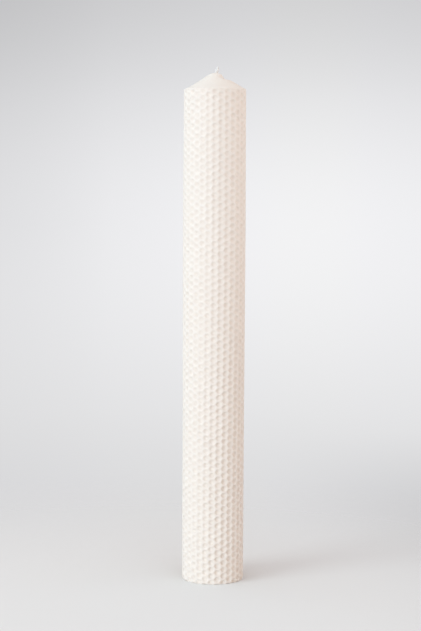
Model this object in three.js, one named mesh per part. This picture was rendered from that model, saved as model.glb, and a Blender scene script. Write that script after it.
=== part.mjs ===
// A free-standing candle, rolled by hand from three sheets of beeswax foundation round a
// cotton wick. Millimetres, +Z up, -Y to the front. The origin is the centre of the base,
// on the wick's axis.

import * as THREE from "three";

// Driving dimensions

// The sheets, from the wick outwards. Each starts where the one before it ends.
const SHEET_NAMES = ["inner_sheet", "middle_sheet", "outer_sheet"];
// How much of each sheet is rolled up, from its first edge to its last
const SHEET_LENGTH = 260;
// Over the embossed cells, from crest to crest
const SHEET_THICKNESS = 2.03;
// Between one turn and the next
const TURN_GAP = 0.42;
// Between the end of one sheet and the start of the next
const BUTT_GAP = 0.3;
// The outer sheet's free edge is pressed thin against the turn below it
const PRESSED_LENGTH = 9;
const PRESSED_THICKNESS = 1.1;
// Where the straight side of the candle ends and its cone begins
const SHOULDER_HEIGHT = 392.5;
// From the shoulder up to the flat tip of the cone
const CONE_RISE = 12.9;
// How far the cone's slope dips below a straight line, at its middle
const CONE_HOLLOW = 0.85;
// The wax that is level round the wick
const TIP_RADIUS = 4.2;
const WICK_DIAMETER = 2.8;
// Between the wick and the first turn
const WICK_CLEARANCE = 0.3;
// The wick that stands above the wax, and the part of it that narrows to the cut end
const WICK_STUB = 5.2;
const WICK_TAPER = 2.4;
const WICK_END_DIAMETER = 1.8;
// Direction of the outer sheet's free edge, in degrees from +X: at the back
const SEAM_DIRECTION = 90;

// Facets
const STATIONS_PER_TURN = 40;
const WICK_SIDES = 16;

// Derived sizes

const turnPitch = SHEET_THICKNESS + TURN_GAP;
const halfThickness = SHEET_THICKNESS / 2;
const wickRadius = WICK_DIAMETER / 2;
// Radius of the sheet's middle surface where the first sheet starts
const firstRadius = wickRadius + WICK_CLEARANCE + halfThickness;
const stationAngle = (2 * Math.PI) / STATIONS_PER_TURN;
const rollLength = SHEET_NAMES.length * SHEET_LENGTH + (SHEET_NAMES.length - 1) * BUTT_GAP;
const rollAngle = angleAtLength(rollLength);
const pressedAngle = angleAtLength(rollLength - PRESSED_LENGTH);
// Mean radius of the candle's side, half a pitch inside the last turn's end
const sideRadius = middleRadius(rollAngle) + halfThickness - turnPitch / 2;

const waxMaterial = new THREE.MeshStandardMaterial({
  name: "wax",
  color: 0xf6f0e6,
  roughness: 0.55,
  metalness: 0,
});
const wickMaterial = new THREE.MeshStandardMaterial({
  name: "wick",
  color: 0xefebe3,
  roughness: 0.85,
  metalness: 0,
});

// The roll is an Archimedean spiral. An angle counts from the first edge of the inner
// sheet, and grows outwards.

function middleRadius(angle) {
  return firstRadius + (turnPitch * angle) / (2 * Math.PI);
}

// The angle at which a given length of sheet has been rolled up
function angleAtLength(length) {
  const endRadius = Math.sqrt(firstRadius ** 2 + (turnPitch * length) / Math.PI);
  return ((endRadius - firstRadius) * 2 * Math.PI) / turnPitch;
}

// Height of the cut top edge above the base. The cone rises from the shoulder to the tip.
function topHeight(radius) {
  const share = (sideRadius - radius) / (sideRadius - TIP_RADIUS);
  const climb = THREE.MathUtils.clamp(share, 0, 1);
  return SHOULDER_HEIGHT + CONE_RISE * climb - 4 * CONE_HOLLOW * climb * (1 - climb);
}

// How far the sheet's outer side lies from its middle surface. The pressed edge thins
// evenly, and its inner side keeps its place.
function outerOffset(angle) {
  const pressed = THREE.MathUtils.smoothstep(angle, pressedAngle, rollAngle);
  return halfThickness - pressed * (SHEET_THICKNESS - PRESSED_THICKNESS);
}

// A point of the roll's cross-section on one of the stations, which all turns share, so
// that the facets of neighbouring turns are parallel. It lies on the sheet's outer or
// inner side.
function stationPoint(station, isOuter) {
  const angle = station * stationAngle;
  const direction = THREE.MathUtils.degToRad(SEAM_DIRECTION) + rollAngle - angle;
  const radius = middleRadius(angle) + (isOuter ? outerOffset(angle) : -halfThickness);
  return new THREE.Vector2(radius * Math.cos(direction), radius * Math.sin(direction));
}

// The same at any place between two stations, on the facet that joins them
function rollPoint(place, isOuter) {
  const station = Math.floor(place);
  const point = stationPoint(station, isOuter);
  return point.lerp(stationPoint(station + 1, isOuter), place - station);
}

// The places along a sheet: its two cut ends and every station between them
function sheetPlaces(startLength, endLength) {
  const start = angleAtLength(startLength) / stationAngle;
  const end = angleAtLength(endLength) / stationAngle;
  const places = [start];
  for (let station = Math.floor(start) + 1; station < end; station += 1) {
    places.push(station);
  }
  places.push(end);
  return places;
}

// A closed slab that follows the spiral, flat at the base, with its top edge cut to the
// cone. Each place along it has four corners: inner and outer at the base, then outer and
// inner at the top.
function sheetGeometry(places) {
  const corners = [];
  for (const place of places) {
    const inner = rollPoint(place, false);
    const outer = rollPoint(place, true);
    corners.push(inner.x, inner.y, 0);
    corners.push(outer.x, outer.y, 0);
    corners.push(outer.x, outer.y, topHeight(outer.length()));
    corners.push(inner.x, inner.y, topHeight(inner.length()));
  }
  const triangles = [0, 2, 1, 0, 3, 2];
  for (let place = 0; place < places.length - 1; place += 1) {
    for (let side = 0; side < 4; side += 1) {
      const here = 4 * place + side;
      const beside = 4 * place + ((side + 1) % 4);
      triangles.push(here, beside, beside + 4);
      triangles.push(here, beside + 4, here + 4);
    }
  }
  const last = 4 * (places.length - 1);
  triangles.push(last, last + 1, last + 2, last, last + 2, last + 3);
  const geometry = new THREE.BufferGeometry();
  geometry.setAttribute("position", new THREE.Float32BufferAttribute(corners, 3));
  geometry.setIndex(triangles);
  geometry.computeVertexNormals();
  return geometry;
}

// The least distance between two neighbouring turns, from each station's outer corner to
// the two inner facets that face it
function leastTurnGap() {
  const lastStation = Math.floor(rollAngle / stationAngle) - STATIONS_PER_TURN - 1;
  let least = Infinity;
  for (let station = 1; station <= lastStation; station += 1) {
    const corner = new THREE.Vector3(...stationPoint(station, true), 0);
    for (const facet of [station - 1, station]) {
      const facing = facet + STATIONS_PER_TURN;
      const line = new THREE.Line3(
        new THREE.Vector3(...stationPoint(facing, false), 0),
        new THREE.Vector3(...stationPoint(facing + 1, false), 0),
      );
      const nearest = line.closestPointToPoint(corner, true, new THREE.Vector3());
      least = Math.min(least, nearest.distanceTo(corner));
    }
  }
  return least;
}

// The wick runs the whole height and is cut level with the base. Its free end narrows.
function wickGeometry() {
  const waxTop = SHOULDER_HEIGHT + CONE_RISE;
  const wickTop = waxTop + WICK_STUB;
  const profile = [
    new THREE.Vector2(0, 0),
    new THREE.Vector2(wickRadius, 0),
    new THREE.Vector2(wickRadius, wickTop - WICK_TAPER),
    new THREE.Vector2(WICK_END_DIAMETER / 2, wickTop),
    new THREE.Vector2(0, wickTop),
  ];
  const geometry = new THREE.LatheGeometry(profile, WICK_SIDES);
  geometry.rotateX(Math.PI / 2);
  return geometry;
}

function namedMesh(name, geometry, material) {
  const mesh = new THREE.Mesh(geometry, material);
  mesh.name = name;
  return mesh;
}

const candle = new THREE.Group();
candle.add(namedMesh("wick", wickGeometry(), wickMaterial));

SHEET_NAMES.forEach((name, index) => {
  const startLength = index * (SHEET_LENGTH + BUTT_GAP);
  const places = sheetPlaces(startLength, startLength + SHEET_LENGTH);
  candle.add(namedMesh(name, sheetGeometry(places), waxMaterial));
});

console.log(`least gap between turns: ${leastTurnGap().toFixed(3)} mm`);
console.log(`turns: ${(rollAngle / (2 * Math.PI)).toFixed(2)}`);
console.log(`mean diameter: ${(2 * sideRadius).toFixed(2)} mm`);

export default candle;
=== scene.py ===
"""A candle rolled by hand from three sheets of honeycomb beeswax foundation round a braided wick.

Each sheet is made flat, as embossed wax is: cells on both sides, trimmed to a rectangle. It is
then rolled up on the spiral that the CAD sheets follow, and its top edge is drawn up to the cone.
Lengths are in metres. "along" runs along a sheet from the candle's middle outwards, "up" from the
base to the top edge, and "out" through its thickness, away from the candle's axis.
"""

import math

import bmesh
import bpy
import numpy as np
from mathutils import Matrix, Vector

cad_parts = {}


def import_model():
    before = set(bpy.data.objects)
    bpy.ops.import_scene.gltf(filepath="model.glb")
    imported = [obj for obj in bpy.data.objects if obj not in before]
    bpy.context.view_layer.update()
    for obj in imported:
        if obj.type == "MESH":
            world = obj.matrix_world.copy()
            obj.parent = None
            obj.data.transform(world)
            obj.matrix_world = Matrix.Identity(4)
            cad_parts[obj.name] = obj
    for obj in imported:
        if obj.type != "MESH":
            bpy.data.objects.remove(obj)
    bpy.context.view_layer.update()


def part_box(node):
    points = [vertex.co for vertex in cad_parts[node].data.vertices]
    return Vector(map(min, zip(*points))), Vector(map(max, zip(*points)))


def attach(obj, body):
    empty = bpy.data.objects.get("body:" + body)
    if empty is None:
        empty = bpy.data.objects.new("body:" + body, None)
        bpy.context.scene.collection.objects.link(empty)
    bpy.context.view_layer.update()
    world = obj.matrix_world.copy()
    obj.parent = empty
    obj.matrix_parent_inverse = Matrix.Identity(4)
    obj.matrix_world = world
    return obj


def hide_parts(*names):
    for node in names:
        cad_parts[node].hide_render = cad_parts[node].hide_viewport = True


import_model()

MM = 0.001

# The roll, as the CAD model has it. Each sheet starts where the one before it ends.
SHEET_NAMES = ("inner_sheet", "middle_sheet", "outer_sheet")
SHEET_LENGTH = 260 * MM
BUTT_GAP = 0.3 * MM
CAD_THICKNESS = 2.03 * MM
TURN_PITCH = 2.45 * MM
WICK_CLEARANCE = 0.3 * MM
PRESSED_LENGTH = 9 * MM
PRESSED_THICKNESS = 1.1 * MM
SHOULDER_HEIGHT = 392.5 * MM
TIP_RADIUS = 4.2 * MM
SEAM_DIRECTION = math.radians(90)
# The cone's slope is straighter than the CAD's
CONE_HOLLOW = 0.45 * MM

# Sizes that the frame gives
wick_low, wick_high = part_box("wick")
WICK_RADIUS = (wick_high.x - wick_low.x) / 2
WICK_TOP = wick_high.z
TIP_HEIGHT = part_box("inner_sheet")[1].z
CONE_RISE = TIP_HEIGHT - SHOULDER_HEIGHT

# From crest to crest, a little more than the CAD's
SHEET_THICKNESS = 2.2 * MM
# The embossed cells. Two sides of each hexagon are level, so a column's cells stack at the width
# across the flats. Rolling stretches the outer side a little, so the columns lie further apart
# than in flat wax.
CELL_PITCH = 5.396 * MM
FLAT_COLUMN_STEP = CELL_PITCH * math.sqrt(3) / 2
COLUMN_STEP = 4.78 * MM
COLUMN_PHASE = -1.0 * MM
ROW_PHASE = 1.40 * MM
# The columns lean sideways by this much, up to this height
COLUMN_LEAN = -1.6 * MM
LEAN_HEIGHT = 300 * MM
# Directions across the three pairs of flats, and up the three faces of a cell's floor
FLAT_DIRECTIONS = tuple(math.radians(degrees) for degrees in (30, 90, 150))
FLOOR_DIRECTIONS = tuple(math.radians(degrees) for degrees in (0, 120, 240))

# A cell's section: half a rounded crest, the wall, and the floor with the slope of its faces
CREST_HALF_WIDTH = 0.45 * MM
WALL_WIDTH = 0.8 * MM
FLOOR_DEPTH = 1.9 * MM
FLOOR_RISE = 0.2
CORNER_SHARPNESS = 6
# The cells grow shallower up to a height, above which they keep this share of their depth
TOP_DEPTH_SHARE = 0.56
SHALLOW_FROM = 290 * MM
# They are pressed flatter where the base is cut
BASE_DEPTH_SHARE = 0.5
BASE_FLATTENED = 2.5 * MM

# Rings of a cell's mesh, as distances inwards from its border, then the ring round its middle
RING_INSETS = (0.47 * MM, 1.08 * MM)
INNER_RING_RADIUS = 1.0 * MM
RING_SIDES = 12
INNER_RING_SIDES = 6

# Hand-made unevenness: the pattern's slips, the crests' wear and each cell's own depth
WARP = 0.10 * MM
SLIP_LENGTH_ALONG = 34 * MM
SLIP_LENGTH_UP = 41 * MM
RIPPLE_LENGTH = 6 * MM
RIPPLE_SHARE = 0.5
CREST_WEAR = 0.10 * MM
WEAR_LENGTH = 19 * MM
DEPTH_SPREAD = 0.08
# Columns and rows of depths drawn, more than a sheet has
DEPTH_DRAWS = (64, 128)
# Plane waves in one sum, and their lengths as shares of its wavelength
WAVE_COUNT = 7
WAVE_SHARES = (0.7, 1.5)
# Seeds. Each call of slip and relief also uses the next number.
SLIP_ALONG_SEED = 11
SLIP_UP_SEED = 13
OUTER_SEED = 21
INNER_SEED = 31

# Share of the embossing on the sides that lie inside the roll, at the cut base
HIDDEN_SHARE = 0.2
# Share of the embossing that was smoothed away by hand at the top edge, and how far down
TOP_SMOOTHING = 0.97
TOP_SMOOTHED = 2.5 * MM
# At the top edge the turns are pressed against each other
TOP_CLOSING = 0.1 * MM
# Share of the embossing that is lost at the pressed free edge
PRESSED_LOSS = 0.75
# The side draws in by this much at the foot, and is full from this height on
FOOT_ROUNDING = 0.45 * MM
FOOT_ROUNDED = 1.1 * MM
# It swells a little at a height, less above and below
BULGE = 0.32 * MM
BULGE_HEIGHT = 262 * MM
BULGE_SPREAD = 95 * MM
# A dip pressed into the cone on its right, close to the tip. The last value says how fast it
# fades to the front and the back.
DIP_DEPTH = 2.6 * MM
DIP_RADIUS = 7.9 * MM
DIP_SPREAD = 2.75 * MM
DIP_FADING = 1.5

# At the tip the first sheet's wax is pressed closed round the wick, and rises a little along it
COLLAR_DEPTH = 0.3 * MM
COLLAR_RISE = 0.5 * MM
COLLAR_GAP = 0.04 * MM
COLLAR_SHARES = (1, 0.75, 0.5, 0.25, 0)

# The wick: strands that wind both ways, each passing over and under those that cross it
STRANDS_EACH_WAY = 4
BRAID_LAY = 8 * MM
STRAND_RADIUS = 0.42 * MM
STRAND_SWAY = 0.12 * MM
WICK_CORE = 1.26 * MM
WICK_TAPER = 2.8 * MM
WICK_END_RADIUS = 0.8 * MM
WICK_LEAN = 1.45 * MM
WICK_LEAN_FROM = TIP_HEIGHT - COLLAR_DEPTH
# Wax has soaked the braid this far from the tip's level, and fills it over the first share of that
WICK_SOAKED = 1.1 * MM
FILLED_SHARE = 0.2
SOAKED_RADIUS = 1.34 * MM
WICK_SIDES = 96
# Rows of the wick's mesh are close together at its foot and from just below the tip up
WICK_SHOWN = 3 * MM
BRAID_STEP = 0.1 * MM
PLAIN_STEP = 20 * MM

# Spacing of the plain grids on the hidden sides, and their rows: close along the cut edges
GRID_STEP = 0.8 * MM
EDGE_ROWS = 5
MIDDLE_ROWS = 6
# Columns of whole cells on the outer side before the last turn, which is the one that shows
HIDDEN_COLUMNS = 2
# A straight row of vertices across the free edge's cut face, this far from its inner side
CUT_FACE_ROW = 0.38 * MM
# Vertices closer than this are one where the cells are trimmed
TRIM_TOLERANCE = 0.02 * MM

half_thickness = SHEET_THICKNESS / 2
# Radius of the sheet's middle surface where the first sheet starts
first_radius = WICK_RADIUS + WICK_CLEARANCE + CAD_THICKNESS / 2
roll_length = len(SHEET_NAMES) * SHEET_LENGTH + (len(SHEET_NAMES) - 1) * BUTT_GAP


# The roll

def middle_radius(angle):
    return first_radius + TURN_PITCH * angle / (2 * math.pi)


def angle_at_length(length):
    """The angle at which a given length of sheet has been rolled up."""
    end_radius = np.sqrt(first_radius**2 + TURN_PITCH * length / math.pi)
    return (end_radius - first_radius) * 2 * math.pi / TURN_PITCH


def length_at_angle(angle):
    return first_radius * angle + TURN_PITCH * angle**2 / (4 * math.pi)


roll_angle = angle_at_length(roll_length)
last_turn_start = length_at_angle(roll_angle - 2 * math.pi)
# Mean radius of the candle's side, half a pitch inside the last turn's end
side_radius = middle_radius(roll_angle) + (CAD_THICKNESS - TURN_PITCH) / 2


def smooth_step(value, low, high):
    share = np.clip((value - low) / (high - low), 0, 1)
    return share * share * (3 - 2 * share)


def top_height(radius):
    """Height of the cut top edge, which climbs from the shoulder to the level tip."""
    climb = np.clip((side_radius - radius) / (side_radius - TIP_RADIUS), 0, 1)
    return SHOULDER_HEIGHT + CONE_RISE * climb - 4 * CONE_HOLLOW * climb * (1 - climb)


def pressed_dip(radius, direction):
    """How far the cone is pressed in."""
    share = np.exp(-(((radius - DIP_RADIUS) / DIP_SPREAD) ** 2))
    return DIP_DEPTH * share * np.clip(np.cos(direction), 0, 1) ** DIP_FADING


def roll_up(along, up, out):
    """Flat sheet coordinates to places in the candle."""
    angle = angle_at_length(along)
    direction = SEAM_DIRECTION + roll_angle - angle
    radius = middle_radius(angle) + out
    height = up / SHOULDER_HEIGHT * (top_height(radius) - pressed_dip(radius, direction))
    swell = BULGE * np.exp(-(((height - BULGE_HEIGHT) / BULGE_SPREAD) ** 2))
    radius = radius + swell * np.clip(radius / side_radius, 0, 1)
    return np.column_stack((radius * np.cos(direction), radius * np.sin(direction), height))


# The embossing

def waves(x, y, wavelength, seed):
    """Smooth noise between about -1 and 1: a sum of plane waves in seeded directions."""
    draws = np.random.default_rng(seed)
    total = np.zeros_like(x)
    for _ in range(WAVE_COUNT):
        heading = draws.uniform(0, 2 * math.pi)
        phase = draws.uniform(0, 2 * math.pi)
        length = wavelength * draws.uniform(*WAVE_SHARES)
        across = x * math.cos(heading) + y * math.sin(heading)
        total += np.sin(across * 2 * math.pi / length + phase)
    return 2 * total / WAVE_COUNT


def slip(along, up, wavelength, seed):
    """How far the cells have slipped one way, in broad waves with ripples on them."""
    ripples = RIPPLE_SHARE * waves(along, up, RIPPLE_LENGTH, seed + 1)
    return WARP * (waves(along, up, wavelength, seed) + ripples)


def warp(along, up):
    """How far the cells at a place lie from the regular pattern."""
    slip_along = slip(along, up, SLIP_LENGTH_ALONG, SLIP_ALONG_SEED)
    lean = COLUMN_LEAN * smooth_step(up, 0, LEAN_HEIGHT)
    return slip_along + lean, slip(along, up, SLIP_LENGTH_UP, SLIP_UP_SEED)


def nearest_cell(along, up):
    """Offsets from the nearest cell's middle, in flat wax, and the cell's column and row."""
    column_place = (along - COLUMN_PHASE) / COLUMN_STEP
    best = None
    for column in (np.floor(column_place), np.floor(column_place) + 1):
        row_place = (up - ROW_PHASE) / CELL_PITCH - (column % 2) / 2
        row = np.round(row_place)
        across = (column_place - column) * FLAT_COLUMN_STEP
        upward = (row_place - row) * CELL_PITCH
        found = (across, upward, column, row)
        if best is None:
            best = found
        else:
            closer = np.hypot(across, upward) < np.hypot(best[0], best[1])
            best = tuple(np.where(closer, new, old) for new, old in zip(found, best))
    return best


def rounded_reach(across, upward):
    """Distance from a cell's middle, measured so that its lines are rounded hexagons."""
    total = np.zeros_like(across)
    for heading in FLAT_DIRECTIONS:
        reach = np.abs(across * math.cos(heading) + upward * math.sin(heading))
        total += reach**CORNER_SHARPNESS
    return total ** (1 / CORNER_SHARPNESS)


def relief(along, up, seed):
    """Depth of the embossing below the crests, at places on one side of a flat sheet."""
    slip_along, slip_up = warp(along, up)
    across, upward, column, row = nearest_cell(along - slip_along, up - slip_up)
    inset = CELL_PITCH / 2 - rounded_reach(across, upward)
    wall = smooth_step(inset, CREST_HALF_WIDTH, CREST_HALF_WIDTH + WALL_WIDTH)
    climb = np.full_like(across, -np.inf)
    for heading in FLOOR_DIRECTIONS:
        climb = np.maximum(climb, across * math.cos(heading) + upward * math.sin(heading))
    draws = np.random.default_rng(seed).uniform(-1, 1, DEPTH_DRAWS)
    spread = draws[column.astype(int) % DEPTH_DRAWS[0], row.astype(int) % DEPTH_DRAWS[1]]
    by_height = 1 - (1 - TOP_DEPTH_SHARE) * smooth_step(up, 0, SHALLOW_FROM)
    by_height = by_height - (1 - BASE_DEPTH_SHARE) * (1 - smooth_step(up, 0, BASE_FLATTENED))
    bottom = FLOOR_DEPTH * by_height * (1 + DEPTH_SPREAD * spread) - FLOOR_RISE * climb
    wear = CREST_WEAR * (0.5 + 0.5 * waves(along, up, WEAR_LENGTH, seed + 1)).clip(0, 1)
    return wear + wall * (bottom - wear)


def hidden_relief(along, up, seed):
    """Inside the roll the embossing is made only by the cut edges, where it shows. The top edge
    was smoothed by hand."""
    from_edge = np.minimum(up, SHOULDER_HEIGHT - up)
    shown = 1 - smooth_step(from_edge, (EDGE_ROWS - 2) * GRID_STEP, EDGE_ROWS * GRID_STEP)
    is_top = up > SHOULDER_HEIGHT / 2
    return relief(along, up, seed) * shown * np.where(is_top, 1 - TOP_SMOOTHING, HIDDEN_SHARE)


def closing(up):
    return TOP_CLOSING * smooth_step(up, SHOULDER_HEIGHT - TOP_SMOOTHED, SHOULDER_HEIGHT)


def outer_side(along, up, cells_from):
    """Where the sheet's outer side lies. Near the roll's end it is pressed flat and thin."""
    pressed = smooth_step(along, roll_length - PRESSED_LENGTH, roll_length)
    from_top = SHOULDER_HEIGHT - up
    smoothed = 1 - TOP_SMOOTHING * (1 - smooth_step(from_top, 0, TOP_SMOOTHED))
    shown_depth = relief(along, up, OUTER_SEED) * (1 - PRESSED_LOSS * pressed) * smoothed
    depth = np.where(along < cells_from, hidden_relief(along, up, OUTER_SEED), shown_depth)
    foot = FOOT_ROUNDING * (1 - np.clip(up / FOOT_ROUNDED, 0, 1)) ** 2
    inside = np.where(along < last_turn_start, closing(up), 0)
    return half_thickness + inside - depth - foot - pressed * (CAD_THICKNESS - PRESSED_THICKNESS)


def inner_side(along, up):
    """Where the sheet's inner side lies. Its cells are on the corners between the outer side's."""
    corner = CELL_PITCH / math.sqrt(3)
    return hidden_relief(along + corner, up, INNER_SEED) - half_thickness - closing(up)


# Flat surfaces. Each holds its places as rows of (along, up), its faces, and its four edges as
# lists of vertices: bottom and top ordered by along, start and end ordered by up.

def cell_template():
    """One cell's vertices round its middle, from its border inwards, and its triangles."""
    places = []
    for inset in (0, *RING_INSETS):
        for step in range(RING_SIDES):
            heading = 2 * math.pi * step / RING_SIDES
            x, y = np.array([math.cos(heading)]), np.array([math.sin(heading)])
            if inset == 0:
                reach = max(abs(math.cos(heading - across)) for across in FLAT_DIRECTIONS)
            else:
                reach = rounded_reach(x, y)[0]
            radius = (CELL_PITCH / 2 - inset) / reach
            places.append((radius * x[0], radius * y[0]))
    for step in range(INNER_RING_SIDES):
        heading = 2 * math.pi * step / INNER_RING_SIDES
        x, y = math.cos(heading), math.sin(heading)
        places.append((INNER_RING_RADIUS * x, INNER_RING_RADIUS * y))
    places.append((0.0, 0.0))
    triangles = []
    last_ring = len(RING_INSETS) * RING_SIDES
    for ring in range(0, last_ring, RING_SIDES):
        for step in range(RING_SIDES):
            here, beside = ring + step, ring + (step + 1) % RING_SIDES
            inward, inward_beside = here + RING_SIDES, beside + RING_SIDES
            triangles += [(here, beside, inward_beside), (here, inward_beside, inward)]
    inner_ring = last_ring + RING_SIDES
    for step in range(INNER_RING_SIDES):
        here, beside = inner_ring + step, inner_ring + (step + 1) % INNER_RING_SIDES
        low, halfway, high = (last_ring + (2 * step + k) % RING_SIDES for k in range(3))
        triangles += [(low, halfway, here), (halfway, high, beside), (halfway, beside, here)]
        triangles.append((here, beside, len(places) - 1))
    return np.array(places), np.array(triangles)


def honeycomb_surface(start, end):
    """Cells from start to end, trimmed at the sheet's edges."""
    places, triangles = cell_template()
    stretch = COLUMN_STEP / FLAT_COLUMN_STEP
    first_column = math.floor((start - COLUMN_PHASE) / COLUMN_STEP) - 1
    last_column = math.ceil((end - COLUMN_PHASE) / COLUMN_STEP) + 1
    first_row = -2
    last_row = math.ceil((SHOULDER_HEIGHT - ROW_PHASE) / CELL_PITCH) + 1
    all_places, all_triangles = [], []
    for column in range(first_column, last_column + 1):
        for row in range(first_row, last_row + 1):
            x = COLUMN_PHASE + column * COLUMN_STEP + places[:, 0] * stretch
            y = ROW_PHASE + (row + (column % 2) / 2) * CELL_PITCH + places[:, 1]
            all_triangles.append(triangles + len(all_places) * len(places))
            all_places.append(np.column_stack((x, y)))
    flat, faces = merged(np.concatenate(all_places), np.concatenate(all_triangles))
    flat = flat + np.column_stack(warp(flat[:, 0], flat[:, 1]))
    return trimmed_surface(flat, faces, start, end)


def merged(flat, triangles):
    """One mesh of all the cells. Neighbours share the vertices on their borders, which lie on a
    lattice. Those inside the cells lie between its points, so its steps are divided further."""
    lattice_step = (COLUMN_STEP / 6, CELL_PITCH / 4)
    divisions = 64
    keys = np.round((flat - (COLUMN_PHASE, ROW_PHASE)) / lattice_step * divisions)
    _, first, index = np.unique(
        keys.astype(np.int64), axis=0, return_index=True, return_inverse=True
    )
    return flat[first], index.ravel()[triangles]


def trimmed_surface(flat, faces, start, end):
    """The part of a flat mesh that lies on the sheet, with straight edges."""
    mesh = bpy.data.meshes.new("trimmed")
    mesh.from_pydata(np.column_stack((flat, np.zeros(len(flat)))).tolist(), [], faces.tolist())
    shape = bmesh.new()
    shape.from_mesh(mesh)
    cuts = (
        ((start, 0, 0), (-1, 0, 0)),
        ((end, 0, 0), (1, 0, 0)),
        ((0, 0, 0), (0, -1, 0)),
        ((0, SHOULDER_HEIGHT, 0), (0, 1, 0)),
    )
    for place, outward in cuts:
        everything = shape.verts[:] + shape.edges[:] + shape.faces[:]
        bmesh.ops.bisect_plane(
            shape, geom=everything, dist=TRIM_TOLERANCE, plane_co=place, plane_no=outward,
            clear_outer=True,
        )
    bmesh.ops.dissolve_degenerate(shape, edges=shape.edges[:], dist=TRIM_TOLERANCE)
    bmesh.ops.triangulate(shape, faces=shape.faces[:])
    shape.verts.index_update()
    flat = np.array([vertex.co[:2] for vertex in shape.verts])
    faces = [tuple(vertex.index for vertex in face.verts) for face in shape.faces]
    loop = border_loop(shape, flat, (start, 0), (end, 0))
    shape.free()
    bpy.data.meshes.remove(mesh)

    edges = parted_loop(flat, loop, start, end)
    straight = (
        ("bottom", 1, 0), ("end", 0, end), ("top", 1, SHOULDER_HEIGHT), ("start", 0, start)
    )
    for key, axis, value in straight:
        flat[edges[key], axis] = value
    return flat, faces, edges


def border_loop(shape, flat, first_corner, second_corner):
    """The vertices on the trimmed border, from the first corner round by way of the second."""
    beside = {}
    for edge in shape.edges:
        if edge.is_boundary:
            one, other = (vertex.index for vertex in edge.verts)
            beside.setdefault(one, []).append(other)
            beside.setdefault(other, []).append(one)
    border = np.array(list(beside))
    here = int(border[np.argmin(np.hypot(*(flat[border] - first_corner).T))])
    loop = [here]
    towards = np.subtract(second_corner, first_corner)
    ahead = max(beside[here], key=lambda index: float(np.dot(flat[index] - flat[here], towards)))
    while ahead != loop[0]:
        loop.append(ahead)
        ahead = next(index for index in beside[ahead] if index != loop[-2])
    return loop


def parted_loop(flat, loop, start, end):
    """A border loop parted at the sheet's corners. It begins at the base's first corner."""
    corners = ((end, 0), (end, SHOULDER_HEIGHT), (start, SHOULDER_HEIGHT))
    low_end, high_end, high_start = (
        int(np.argmin(np.hypot(*(flat[loop] - corner).T))) for corner in corners
    )
    return {
        "bottom": loop[: low_end + 1],
        "end": loop[low_end : high_end + 1],
        "top": loop[high_end : high_start + 1][::-1],
        "start": [*loop[high_start:], loop[0]][::-1],
    }


def grid_surface(start, end):
    """A plain grid, fine along the cut edges at the base and the top, and coarse between."""
    columns = np.linspace(start, end, round((end - start) / GRID_STEP) + 1)
    edge_rows = np.arange(EDGE_ROWS + 1) * GRID_STEP
    middle = np.linspace(edge_rows[-1], SHOULDER_HEIGHT - edge_rows[-1], MIDDLE_ROWS + 2)[1:-1]
    rows = np.concatenate((edge_rows, middle, SHOULDER_HEIGHT - edge_rows[::-1]))
    along, up = np.meshgrid(columns, rows, indexing="ij")
    index = np.arange(along.size).reshape(along.shape)
    faces = np.stack((index[:-1, :-1], index[1:, :-1], index[1:, 1:], index[:-1, 1:]), axis=-1)
    edges = {
        "start": index[0].tolist(),
        "end": index[-1].tolist(),
        "bottom": index[:, 0].tolist(),
        "top": index[:, -1].tolist(),
    }
    flat = np.column_stack((along.ravel(), up.ravel()))
    return flat, [tuple(face) for face in faces.reshape(-1, 4).tolist()], edges


def stitch(places, one, other, axis):
    """Triangles between two rows of vertices that run side by side along an axis."""
    triangles = []
    i = j = 0
    while i < len(one) - 1 or j < len(other) - 1:
        one_is_done = i == len(one) - 1
        other_is_done = j == len(other) - 1
        one_is_behind = not one_is_done and (
            other_is_done or places[one[i + 1], axis] <= places[other[j + 1], axis]
        )
        if one_is_behind:
            triangles.append((one[i], one[i + 1], other[j]))
            i += 1
        else:
            triangles.append((one[i], other[j + 1], other[j]))
            j += 1
    return [triangle for triangle in triangles if len(set(triangle)) == 3]


def quads(one, other):
    """Faces between two rows of as many vertices."""
    return [(one[i], one[i + 1], other[i + 1], other[i]) for i in range(len(one) - 1)]


# The sheets

class FlatSheet:
    """A sheet before it is rolled. Each vertex has a side: 1 for the outer, -1 for the inner and
    0 for the row across the free edge's cut face. The faces of its rim come last."""

    def __init__(self):
        self.places = np.empty((0, 2))
        self.sides = []
        self.faces = []
        self.rim_from = 0

    def add(self, surface, side):
        """Takes a surface in, and gives its edges by the vertices' new numbers."""
        flat, faces, edges = surface
        first = len(self.places)
        self.places = np.concatenate((self.places, flat))
        self.sides += [side] * len(flat)
        self.faces += [tuple(v + first for v in face) for face in faces]
        return {key: [v + first for v in row] for key, row in edges.items()}

    def add_row(self, beside, along, side):
        """A row of vertices at the heights of those beside it."""
        heights = self.places[beside, 1]
        first = len(self.places)
        self.add((np.column_stack((np.full(len(heights), along), heights)), [], {}), side)
        return list(range(first, len(self.places)))

    def join(self, one, other, axis):
        self.faces += stitch(self.places, one, other, axis)


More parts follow.
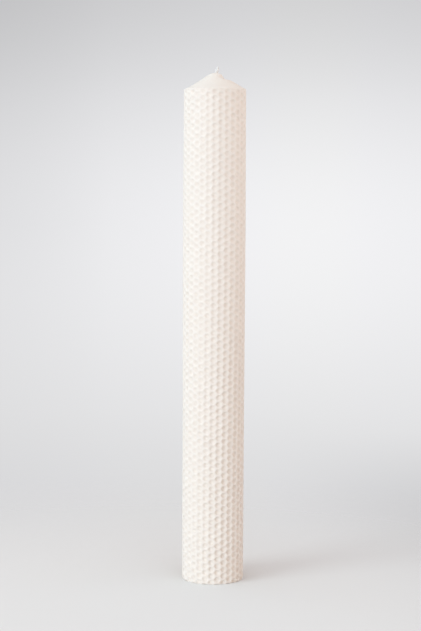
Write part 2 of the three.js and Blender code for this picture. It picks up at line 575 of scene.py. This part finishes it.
def flat_sheet(start, end, cells_from):
    """A sheet's two sides and its rim. Its outer side has whole cells from cells_from on, where
    it shows, and a plain grid before that, inside the roll."""
    sheet = FlatSheet()
    inner = sheet.add(grid_surface(start, end), -1)
    cut_row = inner["end"]
    shows = cells_from < end
    if shows:
        hidden = sheet.add(grid_surface(start, cells_from - GRID_STEP), 1)
        shown = sheet.add(honeycomb_surface(cells_from, end), 1)
        joint = sheet.add_row(shown["start"], cells_from - GRID_STEP / 2, 1)
        outer = {
            "start": hidden["start"],
            "end": shown["end"],
            "bottom": [*hidden["bottom"], joint[0], *shown["bottom"]],
            "top": [*hidden["top"], joint[-1], *shown["top"]],
        }
        across = sheet.add_row(shown["end"][1:-1], end, 0)
        cut_row = [inner["end"][0], *across, inner["end"][-1]]
        sheet.join(hidden["end"], joint, axis=1)
        sheet.faces += quads(joint, shown["start"])
    else:
        outer = sheet.add(grid_surface(start, end), 1)
    sheet.rim_from = len(sheet.faces)
    sheet.join(inner["start"], outer["start"], axis=1)
    sheet.join(inner["bottom"], outer["bottom"], axis=0)
    sheet.join(inner["top"], outer["top"], axis=0)
    if shows:
        sheet.join(inner["end"], cut_row, axis=1)
    sheet.faces += quads(cut_row, outer["end"])
    return sheet


def sheet_piece(name, start, end, cells_from):
    """A rolled sheet. The first one also has the collar round the wick."""
    sheet = flat_sheet(start, end, cells_from)
    along, up = sheet.places[:, 0], sheet.places[:, 1]
    side = np.array(sheet.sides)
    out = np.where(side > 0, outer_side(along, up, cells_from), inner_side(along, up))
    out = np.where(side == 0, CUT_FACE_ROW - half_thickness, out)
    places = roll_up(along, up, out)
    depth = (half_thickness - np.abs(out)) / FLOOR_DEPTH
    faces, group_starts = sheet.faces, [sheet.rim_from]
    if start == 0:
        collar_places, top_faces, hidden_faces = collar(len(places))
        group_starts += [len(faces), len(faces) + len(top_faces)]
        faces += top_faces + hidden_faces
        places = np.concatenate((places, collar_places))
        depth = np.concatenate((depth, np.zeros(len(collar_places))))
    piece = new_piece(name, places.tolist(), faces, group_starts)
    store_depth(piece.data, depth)
    return piece


def collar(first):
    """The wax round the wick's foot, out to the first turn: its places, the faces of its top and
    its other faces. The faces count its vertices from first."""
    angle = (np.arange(WICK_SIDES) + 0.5) * 2 * math.pi / WICK_SIDES
    direction = SEAM_DIRECTION + roll_angle - angle
    reach = middle_radius(angle) - half_thickness - TOP_CLOSING - COLLAR_GAP
    # The step in from the turn's end to its start stays clear of the sheet's cut edge
    reach[-1] = reach[0]
    # Shares of the way out from the wick, with heights
    profile = [(share, TIP_HEIGHT + COLLAR_RISE * (1 - share) ** 2) for share in COLLAR_SHARES]
    profile += [(0, TIP_HEIGHT - COLLAR_DEPTH), (1, TIP_HEIGHT - COLLAR_DEPTH)]
    rings = []
    for share, height in profile:
        inner_x = (SOAKED_RADIUS + COLLAR_GAP) * np.cos(direction) + wick_lean(height)
        inner_y = (SOAKED_RADIUS + COLLAR_GAP) * np.sin(direction)
        x = inner_x + share * (reach * np.cos(direction) - inner_x)
        y = inner_y + share * (reach * np.sin(direction) - inner_y)
        rings.append(np.column_stack((x, y, np.full(WICK_SIDES, height))))
    faces = []
    for ring in range(len(rings)):
        beside = (ring + 1) % len(rings)
        faces += ring_faces(first + ring * WICK_SIDES, first + beside * WICK_SIDES)
    top = (len(COLLAR_SHARES) - 1) * WICK_SIDES
    return np.concatenate(rings), faces[:top], faces[top:]


def ring_faces(low, high):
    """Faces between two rings of WICK_SIDES vertices, each given by its first vertex."""
    faces = []
    for side in range(WICK_SIDES):
        beside = (side + 1) % WICK_SIDES
        faces.append((low + side, low + beside, high + beside, high + side))
    return faces


def new_piece(name, places, faces, group_starts):
    mesh = bpy.data.meshes.new(name)
    mesh.from_pydata(places, [], faces)
    finish_mesh(mesh, group_starts)
    piece = bpy.data.objects.new(name, mesh)
    bpy.context.scene.collection.objects.link(piece)
    return piece


def finish_mesh(mesh, group_starts):
    """Faces point outwards and are smooth. The edges between groups of them are sharp: the cut
    edges. Each group but the first is given by the index of its first face."""
    shape = bmesh.new()
    shape.from_mesh(mesh)
    group = {face: sum(face.index >= start for start in group_starts) for face in shape.faces}
    for face in shape.faces:
        face.smooth = True
    for edge in shape.edges:
        if len({group[face] for face in edge.link_faces}) > 1:
            edge.smooth = False
    bmesh.ops.recalc_face_normals(shape, faces=shape.faces[:])
    shape.to_mesh(mesh)
    shape.free()


def store_depth(mesh, depth):
    """Each vertex keeps how far it lies inside the crests of the sheet's nearer side, as a share
    of a cell's depth. The wax's colour uses it for painted shade in the cells."""
    layer = mesh.attributes.new("cell_depth", "FLOAT", "POINT")
    layer.data.foreach_set("value", np.maximum(depth, 0).astype(np.float32))


# The wick

def braid_radius(angle, height):
    """Radius of the wick's surface: the strand that lies outermost at each place."""
    turn_rate = 2 * math.pi / BRAID_LAY
    middle = WICK_RADIUS - STRAND_RADIUS - STRAND_SWAY
    slant = math.cos(math.atan(turn_rate * middle))
    spacing = 2 * math.pi / STRANDS_EACH_WAY
    radius = np.full_like(angle, WICK_CORE)
    for way in (1, -1):
        path = middle + way * STRAND_SWAY * np.cos(STRANDS_EACH_WAY * turn_rate * height)
        offset = (angle - way * turn_rate * height + spacing / 2) % spacing - spacing / 2
        across = offset * middle * slant / STRAND_RADIUS
        bulge = STRAND_RADIUS * np.sqrt(np.clip(1 - across**2, 0, 1))
        radius = np.where(np.abs(across) < 1, np.maximum(radius, path + bulge), radius)
    return radius


def wick_lean(height):
    """How far the wick leans to the right at a height."""
    share = np.clip((height - WICK_LEAN_FROM) / (WICK_TOP - WICK_LEAN_FROM), 0, 1)
    return WICK_LEAN * (1 - (1 - share) ** 2)


def wick_heights():
    foot = np.arange(0, WICK_SHOWN, BRAID_STEP)
    hidden = np.arange(WICK_SHOWN, TIP_HEIGHT - WICK_SHOWN, PLAIN_STEP)
    free = np.arange(TIP_HEIGHT - WICK_SHOWN, WICK_TOP, BRAID_STEP)
    return np.concatenate((foot, hidden, free, [WICK_TOP]))


def wick_piece():
    heights = wick_heights()
    angles = np.arange(WICK_SIDES) * 2 * math.pi / WICK_SIDES
    height, angle = np.meshgrid(heights, angles, indexing="ij")
    from_tip = np.abs(height - TIP_HEIGHT)
    braided_share = smooth_step(from_tip, FILLED_SHARE * WICK_SOAKED, WICK_SOAKED)
    radius = SOAKED_RADIUS + braided_share * (braid_radius(angle, height) - SOAKED_RADIUS)
    narrowing = smooth_step(height, WICK_TOP - WICK_TAPER, WICK_TOP)
    radius = radius * (1 - narrowing * (1 - WICK_END_RADIUS / WICK_RADIUS))
    x = radius * np.cos(angle) + wick_lean(height)
    places = np.stack((x, radius * np.sin(angle), height), axis=-1).reshape(-1, 3).tolist()
    last_row = (len(heights) - 1) * WICK_SIDES
    faces = []
    for row in range(0, last_row, WICK_SIDES):
        faces += ring_faces(row, row + WICK_SIDES)
    rim_from = len(faces)
    for first, middle in ((0, (0, 0, 0)), (last_row, (WICK_LEAN, 0, WICK_TOP))):
        places.append(middle)
        for side in range(WICK_SIDES):
            faces.append((first + side, first + (side + 1) % WICK_SIDES, len(places) - 1))
    return new_piece("braided_wick", places, faces, [rim_from])


# Nodes

def add_node(tree, kind, inputs, **settings):
    """A new node. Its settings come first, because they decide which inputs it has. Each input
    is given a value or the output of another node."""
    node = tree.nodes.new("ShaderNode" + kind)
    for name, value in settings.items():
        setattr(node, name, value)
    for name, source in inputs.items():
        if isinstance(source, bpy.types.NodeSocket):
            tree.links.new(source, node.inputs[name])
        else:
            node.inputs[name].default_value = source
    return node


def noise(tree, vector, scale, detail):
    inputs = {"Vector": vector, "Scale": scale, "Detail": detail}
    return add_node(tree, "TexNoise", inputs).outputs["Fac"]


def mapped(tree, value, source, target=(0, 1), **settings):
    """A value that runs through the source range, changed to run through the target range."""
    inputs = {
        "Value": value,
        "From Min": source[0],
        "From Max": source[1],
        "To Min": target[0],
        "To Max": target[1],
    }
    return add_node(tree, "MapRange", inputs, **settings).outputs["Result"]


def mixed_colour(tree, share, first, second, **settings):
    inputs = {"Factor": share, "A": first, "B": second}
    return add_node(tree, "Mix", inputs, data_type="RGBA", **settings).outputs["Result"]


def mixed_shader(tree, share, first, second):
    return add_node(tree, "MixShader", {"Fac": share, 1: first, 2: second}).outputs["Shader"]


def bumps(tree, height, strength, distance):
    inputs = {"Height": height, "Strength": strength, "Distance": distance}
    return add_node(tree, "Bump", inputs).outputs["Normal"]


def object_place(tree):
    return add_node(tree, "TexCoord", {}).outputs["Object"]


# Materials

def new_material(name):
    material = bpy.data.materials.new(name)
    material.use_nodes = True
    material.node_tree.nodes.clear()
    return material, material.node_tree


def wax_material():
    """Bleached wax with pale clouds, painted a little darker and yellower down the cells' walls:
    painted shade in the cells' hollows.
    """
    material, tree = new_material("bleached_beeswax")
    place = object_place(tree)
    clouds = noise(tree, place, scale=28, detail=4)
    surface = mixed_colour(tree, clouds, (0.933, 0.862, 0.782, 1), (0.921, 0.845, 0.760, 1))
    depth = add_node(tree, "Attribute", {}, attribute_name="cell_depth").outputs["Fac"]
    # How much painted shade the wax gets, by how far down in a cell it lies
    pit_shade = mapped(tree, depth, source=(0.1, 1.1))
    bloom = noise(tree, place, scale=220, detail=3)
    grain = noise(tree, place, scale=1400, detail=4)
    look = {
        # The hollows' colour is painted shade, darker and yellower than the crests
        "Base Color": mixed_colour(tree, pit_shade, surface, (0.857, 0.773, 0.681, 1)),
        "Roughness": mapped(tree, bloom, source=(0, 1), target=(0.42, 0.62)),
        "Normal": bumps(tree, grain, strength=0.35, distance=0.06 * MM),
        "IOR": 1.44,
        "Subsurface Weight": 0.3,
        "Subsurface Radius": (1.0, 1.0, 1.0),
        "Subsurface Scale": 0.5 * MM,
    }
    shader = add_node(tree, "BsdfPrincipled", look)
    add_node(tree, "OutputMaterial", {"Surface": shader.outputs["BSDF"]})
    return material


def wick_material():
    """Off-white cotton with fine fibres that run upwards."""
    material, tree = new_material("waxed_cotton")
    stretch = add_node(tree, "Mapping", {"Vector": object_place(tree), "Scale": (1, 1, 0.25)})
    fibres = noise(tree, stretch.outputs["Vector"], scale=5200, detail=3)
    look = {
        "Base Color": mixed_colour(tree, fibres, (0.76, 0.745, 0.71, 1), (0.84, 0.83, 0.80, 1)),
        "Roughness": 0.7,
        "Normal": bumps(tree, fibres, strength=0.6, distance=0.04 * MM),
        "Subsurface Weight": 0.5,
        "Subsurface Radius": (1.0, 1.0, 1.0),
        "Subsurface Scale": 0.6 * MM,
        "Sheen Weight": 0.15,
        "Sheen Roughness": 0.6,
    }
    shader = add_node(tree, "BsdfPrincipled", look)
    add_node(tree, "OutputMaterial", {"Surface": shader.outputs["BSDF"]})
    return material


# The camera, the backdrop and the floor

CAMERA_DISTANCE = 1.264
CAMERA_HEIGHT = 0.312
CAMERA_SIDE = -3.27 * MM
CAMERA_TILT = math.radians(4.474)
CAMERA_ROLL = math.radians(0.28)
FOCAL_LENGTH = 90.3

# The light that comes from all round
STUDIO_LIGHT = (1.0, 0.845, 0.805, 1)
STUDIO_STRENGTH = 0.73
# The backdrop's greys by the height of the line of sight (the sine of its elevation)
BACKDROP_GREYS = ((-0.22, 0.69), (-0.137, 0.79), (-0.024, 0.89), (0.06, 0.785), (0.13, 0.635))
# Its blue against its red and green
BACKDROP_BLUE = 1.01
# The backdrop darkens sideways: lines of sight to the left and the right, and the share of light
# left there. Higher up it darkens mostly to the left, and near the floor mostly to the right, where
# it is painted shade that carries the candle's soft shadow over the far floor.
HIGH_SIDES = ((-0.13, 0.84), (-0.065, 0.93), (0.05, 1.0), (0.13, 0.975))
LOW_SIDES = ((-0.13, 0.98), (-0.03, 1.0), (0.04, 0.99), (0.13, 0.865))
# Heights at which each darkening starts, and at which it is full
HIGH_SIDES_FROM = (-0.22, -0.02)
LOW_SIDES_FROM = (-0.15, -0.20)
PAPER = (0.674, 0.662, 0.634, 1)
FLOOR_RADIUS = 3.0
# The floor's paper gives way to the backdrop between these distances from a point in front of
# the candle, on its left
FLOOR_CENTRE = (-0.06, -0.12, 0)
FLOOR_FADE = (0.12, 0.60)


def camera():
    data = bpy.data.cameras.new("camera")
    data.sensor_width = 36
    data.lens = FOCAL_LENGTH
    data.clip_start = 0.05
    data.clip_end = 30
    item = bpy.data.objects.new("camera", data)
    turn = Matrix.Rotation(math.pi / 2 - CAMERA_TILT, 4, "X") @ Matrix.Rotation(CAMERA_ROLL, 4, "Z")
    item.matrix_world = Matrix.Translation((CAMERA_SIDE, -CAMERA_DISTANCE, CAMERA_HEIGHT)) @ turn
    bpy.context.scene.collection.objects.link(item)
    bpy.context.scene.camera = item


def ramp(tree, value, stops):
    """A colour ramp of greys over a value, from the first stop to the last."""
    low, high = stops[0][0], stops[-1][0]
    place = mapped(tree, value, source=(low, high))
    greys = add_node(tree, "ValToRGB", {"Fac": place})
    greys.color_ramp.interpolation = "CARDINAL"
    elements = greys.color_ramp.elements
    while len(elements) < len(stops):
        elements.new(0.5)
    for element, (stop, grey) in zip(elements, stops):
        element.position = (stop - low) / (high - low)
        element.color = (grey, grey, grey * BACKDROP_BLUE, 1)
    return greys.outputs["Color"]


def darker_sideways(tree, colour, direction, sides, heights):
    share = mapped(tree, direction.outputs["Z"], source=heights)
    shade = ramp(tree, direction.outputs["X"], sides)
    return mixed_colour(tree, share, colour, shade, blend_type="MULTIPLY")


def seen_directly(tree):
    """1 for rays from the camera and for those mirrored or refracted on the way, else 0."""
    path = add_node(tree, "LightPath", {})
    total = path.outputs["Is Camera Ray"]
    for kind in ("Is Glossy Ray", "Is Transmission Ray"):
        larger = add_node(tree, "Math", {0: total, 1: path.outputs[kind]}, operation="MAXIMUM")
        total = larger.outputs["Value"]
    return total


def world():
    """Even light from all round, and the backdrop where it is seen."""
    scene_world = bpy.data.worlds.new("studio")
    bpy.context.scene.world = scene_world
    scene_world.use_nodes = True
    tree = scene_world.node_tree
    tree.nodes.clear()
    sight = add_node(tree, "TexCoord", {}).outputs["Generated"]
    direction = add_node(tree, "SeparateXYZ", {"Vector": sight})
    grey = ramp(tree, direction.outputs["Z"], BACKDROP_GREYS)
    grey = darker_sideways(tree, grey, direction, HIGH_SIDES, HIGH_SIDES_FROM)
    # Painted shade: near the floor the backdrop darkens to the right, for the candle's soft shadow
    # far off
    grey = darker_sideways(tree, grey, direction, LOW_SIDES, LOW_SIDES_FROM)
    light = add_node(tree, "Background", {"Color": STUDIO_LIGHT, "Strength": STUDIO_STRENGTH})
    shown = add_node(tree, "Background", {"Color": grey})
    surface = mixed_shader(
        tree, seen_directly(tree), light.outputs["Background"], shown.outputs["Background"]
    )
    add_node(tree, "OutputWorld", {"Surface": surface})


def floor():
    shape = bmesh.new()
    bmesh.ops.create_circle(shape, cap_ends=True, segments=96, radius=FLOOR_RADIUS)
    mesh = bpy.data.meshes.new("floor")
    shape.to_mesh(mesh)
    shape.free()
    item = bpy.data.objects.new("floor", mesh)
    bpy.context.scene.collection.objects.link(item)
    mesh.materials.append(floor_material())
    return item


def floor_material():
    """Pale paper that gives way to the backdrop further off."""
    material, tree = new_material("floor_paper")
    ends = {0: object_place(tree), 1: FLOOR_CENTRE}
    distance = add_node(tree, "VectorMath", ends, operation="DISTANCE").outputs["Value"]
    fade = mapped(tree, distance, source=FLOOR_FADE, interpolation_type="SMOOTHSTEP")
    clear_share = add_node(tree, "Math", {0: fade, 1: seen_directly(tree)}, operation="MULTIPLY")
    paper = add_node(tree, "BsdfDiffuse", {"Color": PAPER}).outputs["BSDF"]
    clear = add_node(tree, "BsdfTransparent", {}).outputs["BSDF"]
    surface = mixed_shader(tree, clear_share.outputs["Value"], paper, clear)
    add_node(tree, "OutputMaterial", {"Surface": surface})
    return material


# The lamps

def softbox(name, bearing, distance, height, aim, size, power, colour):
    """An area lamp that faces a height on the candle's axis. Its bearing counts from the front
    towards the right, and its distance is from the axis."""
    turn = math.radians(bearing)
    target = Vector((0, 0, aim))
    place = Vector((distance * math.sin(turn), -distance * math.cos(turn), height))
    data = bpy.data.lights.new(name, "AREA")
    data.shape = "RECTANGLE"
    data.size, data.size_y = size
    data.energy = power
    data.color = colour
    lamp = bpy.data.objects.new(name, data)
    lamp.location = place
    lamp.rotation_euler = (target - place).to_track_quat("-Z", "Y").to_euler()
    lamp.visible_camera = False
    bpy.context.scene.collection.objects.link(lamp)
    return lamp


def candle_lamps():
    key = softbox(
        "key", bearing=-38, distance=2.4, height=0.84, aim=-2.0,
        size=(1.3, 1.1), power=34.8, colour=(0.63, 0.83, 0.99),
    )
    right_fill = softbox(
        "right_fill", bearing=95, distance=0.45, height=0.42, aim=0.45,
        size=(0.2, 0.2), power=0.37, colour=(0.93, 0.96, 1.0),
    )
    overhead = softbox(
        "overhead", bearing=-80, distance=0.6, height=2.0, aim=0.4,
        size=(0.5, 0.5), power=5.1, colour=(0.51, 0.88, 0.95),
    )
    left_rim = softbox(
        "left_rim", bearing=-110, distance=1.5, height=1.2, aim=0.3,
        size=(0.5, 1.0), power=2.6, colour=(0.25, 0.72, 1.0),
    )
    return key, right_fill, overhead, left_rim


def floor_lamps():
    floor_light = softbox(
        "floor_light", bearing=-55, distance=3.1, height=2.6, aim=0.0,
        size=(1.6, 1.0), power=40, colour=(0.78, 0.92, 0.98),
    )
    floor_top = softbox(
        "floor_top", bearing=-15, distance=0.8, height=3.0, aim=0.0,
        size=(3.0, 3.0), power=58, colour=(0.62, 0.84, 1.0),
    )
    return floor_light, floor_top


def light_only(lamp, items):
    """The lamp lights only these items. Everything still casts a shadow in its light."""
    group = bpy.data.collections.new(lamp.name + "_lights")
    for item in items:
        group.objects.link(item)
    lamp.light_linking.receiver_collection = group


# The scene

camera()
world()
paper = floor()
lamps_on_candle = candle_lamps()
lamps_on_floor = floor_lamps()

wax = wax_material()
cells_start = last_turn_start - HIDDEN_COLUMNS * COLUMN_STEP
pieces = []
for index, node in enumerate(SHEET_NAMES):
    start = index * (SHEET_LENGTH + BUTT_GAP)
    cells_from = cells_start if node == SHEET_NAMES[-1] else math.inf
    piece = sheet_piece(node + "_honeycomb", start, start + SHEET_LENGTH, cells_from)
    piece.data.materials.append(wax)
    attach(piece, "root")
    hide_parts(node)
    pieces.append(piece)

braid = wick_piece()
braid.data.materials.append(wick_material())
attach(braid, "root")
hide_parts("wick")
for lamp in lamps_on_candle:
    light_only(lamp, [*pieces, braid])
for lamp in lamps_on_floor:
    light_only(lamp, [paper])

bpy.context.scene.view_settings.view_transform = "Standard"
